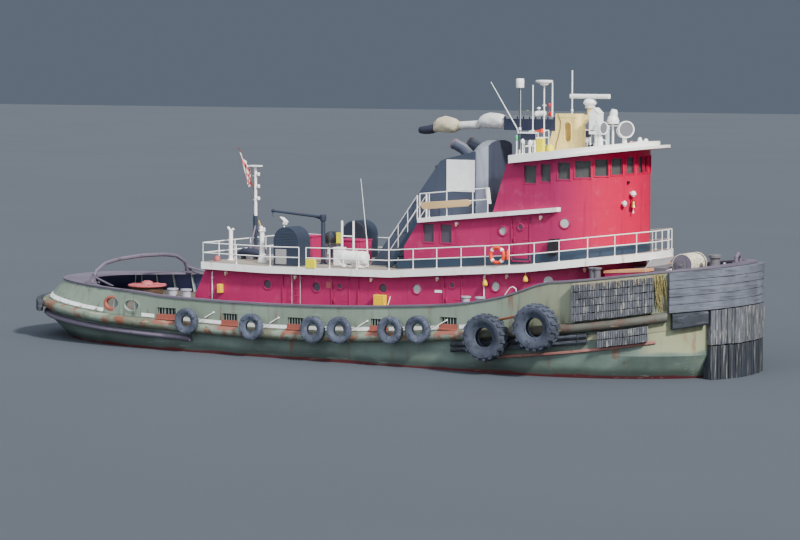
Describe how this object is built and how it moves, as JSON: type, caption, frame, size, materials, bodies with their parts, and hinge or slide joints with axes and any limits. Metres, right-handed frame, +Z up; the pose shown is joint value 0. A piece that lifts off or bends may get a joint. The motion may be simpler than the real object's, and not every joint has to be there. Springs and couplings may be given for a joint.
{
  "type": "harbour tugboat",
  "caption": "Harbour tugboat with round stern, side tyres, stepped deckhouses, raked stack, wheelhouse, towing gear and a laminated rubber bow fender.",
  "frame": {"origin": "on the waterplane, amidships on the centreline", "axes": "+X towards the bow, +Y to port, +Z up"},
  "size_m": [32.91, 11.346, 15.2],
  "materials": {
    "hull_paint": "worn dark green, rusty along the waterline",
    "deck_paint": "worn tan deck paint",
    "green_grey_paint": "faded grey-green with rust runs",
    "mauve_paint": "faded mauve-grey",
    "maroon_paint": "satin maroon",
    "white_paint": "satin white",
    "stack_paint": "matte blue-black",
    "buff_paint": "satin buff",
    "red_paint": "matte red",
    "lamp_steel": "grey and white lamp casings",
    "white_gloss": "white moulded canister",
    "fender_rubber": "laminated, scuffed",
    "tyre_rubber": "weathered tyre",
    "window_glass": "dark tinted",
    "bronze": "cast bronze",
    "flag_cloth": "striped cloth",
    "canvas": "weathered canvas covers"
  },
  "bodies": {
    "vessel": {"aft_mast": "white_paint", "boat_deck": "white_paint", "boat_deck_rail": "white_paint", "bow_fender_lower": "fender_rubber", "bow_fender_middle": "fender_rubber", "bow_fender_upper": "fender_rubber", "bridge_deck": "white_paint", "bridge_rail_port": "white_paint", "bridge_rail_starboard": "white_paint", "bullnose": "white_paint", "bulwark_port": "green_grey_paint", "bulwark_quarter_port": "green_grey_paint", "bulwark_quarter_starboard": "green_grey_paint", "bulwark_starboard": "green_grey_paint", "cap_rail": "mauve_paint", "covered_boom": "canvas", "davit_post": "stack_paint", "deck_winch": "stack_paint", "deckhouse": "maroon_paint", "flag": "flag_cloth", "guard_rail": "green_grey_paint", "hull": "hull_paint", "large_tyres_port": "tyre_rubber", "large_tyres_starboard": "tyre_rubber", "life_raft": "white_gloss", "lower_guard": "mauve_paint", "main_deck": "deck_paint", "mast_housing": "buff_paint", "side_blocks_port": "fender_rubber", "side_blocks_starboard": "fender_rubber", "side_pad_port": "fender_rubber", "side_pad_starboard": "fender_rubber", "stack": "stack_paint", "stairs": "white_paint", "stern_fender": "fender_rubber", "towing_arch": "mauve_paint", "upper_house": "maroon_paint", "vent_hood_port": "stack_paint", "vent_hood_starboard": "stack_paint", "wheelhouse": "maroon_paint", "wheelhouse_glass": "window_glass", "wheelhouse_roof": "white_paint"},
    "propeller_starboard": {"propeller_starboard": "bronze"},
    "propeller_port": {"propeller_port": "bronze"},
    "rudder_starboard": {"rudder_starboard": "red_paint"},
    "rudder_port": {"rudder_port": "red_paint"},
    "radar_scanner": {"radar_scanner": "white_paint"},
    "searchlight_1": {"searchlight_1": "lamp_steel"},
    "searchlight_2": {"searchlight_2": "lamp_steel"},
    "davit_arm": {"davit_arm": "stack_paint"},
    "hawser_reel": {"hawser_reel": "red_paint"},
    "bow_winch_drum": {"bow_winch_drum": "lamp_steel"},
    "deckhouse_door_aft_starboard": {"deckhouse_door_aft_starboard": "maroon_paint"},
    "deckhouse_door_aft_port": {"deckhouse_door_aft_port": "maroon_paint"},
    "deckhouse_door_forward_starboard": {"deckhouse_door_forward_starboard": "maroon_paint"},
    "deckhouse_door_forward_port": {"deckhouse_door_forward_port": "maroon_paint"},
    "upper_house_door_starboard": {"upper_house_door_starboard": "maroon_paint"},
    "upper_house_door_port": {"upper_house_door_port": "maroon_paint"}
  },
  "joints": [
    {"name": "propeller_starboard_spin", "type": "hinge", "parent": "vessel", "child": "propeller_starboard", "pos_m": [-12.6, -1.9, -2.85], "axis": [1, 0, 0], "continuous": true},
    {"name": "propeller_port_spin", "type": "hinge", "parent": "vessel", "child": "propeller_port", "pos_m": [-12.6, 1.9, -2.85], "axis": [1, 0, 0], "continuous": true},
    {"name": "rudder_starboard_turn", "type": "hinge", "parent": "vessel", "child": "rudder_starboard", "pos_m": [-14.1, -1.9, -2.6], "axis": [0, 0, 1], "range_deg": [-35, 35]},
    {"name": "rudder_port_turn", "type": "hinge", "parent": "vessel", "child": "rudder_port", "pos_m": [-14.1, 1.9, -2.6], "axis": [0, 0, 1], "range_deg": [-35, 35]},
    {"name": "radar_spin", "type": "hinge", "parent": "vessel", "child": "radar_scanner", "pos_m": [8.58, 0, 10.1], "axis": [0, 0, 1], "continuous": true},
    {"name": "searchlight_1_pan", "type": "hinge", "parent": "vessel", "child": "searchlight_1", "pos_m": [9.65, -1.2, 9], "axis": [0, 0, 1], "range_deg": [-170, 170]},
    {"name": "searchlight_2_pan", "type": "hinge", "parent": "vessel", "child": "searchlight_2", "pos_m": [10.07, 0, 9], "axis": [0, 0, 1], "range_deg": [-170, 170]},
    {"name": "davit_slew", "type": "hinge", "parent": "vessel", "child": "davit_arm", "pos_m": [-2.7, -1.5, 5.4], "axis": [0, 0, 1], "range_deg": [-100, 150]},
    {"name": "hawser_reel_spin", "type": "hinge", "parent": "vessel", "child": "hawser_reel", "pos_m": [-12.7, 0, 1.8], "axis": [0, 0, 1], "continuous": true},
    {"name": "bow_winch_spin", "type": "hinge", "parent": "vessel", "child": "bow_winch_drum", "pos_m": [12.85, 0, 4.05], "axis": [0, 1, 0], "continuous": true},
    {"name": "deckhouse_door_aft_starboard_swing", "type": "hinge", "parent": "vessel", "child": "deckhouse_door_aft_starboard", "pos_m": [-0.45, -3.1, 2.25], "axis": [0, 0, 1], "range_deg": [0, 100]},
    {"name": "deckhouse_door_aft_port_swing", "type": "hinge", "parent": "vessel", "child": "deckhouse_door_aft_port", "pos_m": [-0.45, 3.1, 2.25], "axis": [0, 0, 1], "range_deg": [-100, 0]},
    {"name": "deckhouse_door_forward_starboard_swing", "type": "hinge", "parent": "vessel", "child": "deckhouse_door_forward_starboard", "pos_m": [4.69, -3.1, 2.5], "axis": [0, 0, 1], "range_deg": [0, 100]},
    {"name": "deckhouse_door_forward_port_swing", "type": "hinge", "parent": "vessel", "child": "deckhouse_door_forward_port", "pos_m": [4.69, 3.1, 2.5], "axis": [0, 0, 1], "range_deg": [-100, 0]},
    {"name": "upper_house_door_starboard_swing", "type": "hinge", "parent": "vessel", "child": "upper_house_door_starboard", "pos_m": [7.38, -2.6, 4.9], "axis": [0, 0, 1], "range_deg": [0, 75]},
    {"name": "upper_house_door_port_swing", "type": "hinge", "parent": "vessel", "child": "upper_house_door_port", "pos_m": [7.38, 2.6, 4.9], "axis": [0, 0, 1], "range_deg": [-75, 0]}
  ],
  "couplings": [
    {"joint": "rudder_port_turn", "follows": "rudder_starboard_turn", "ratio": 1}
  ]
}
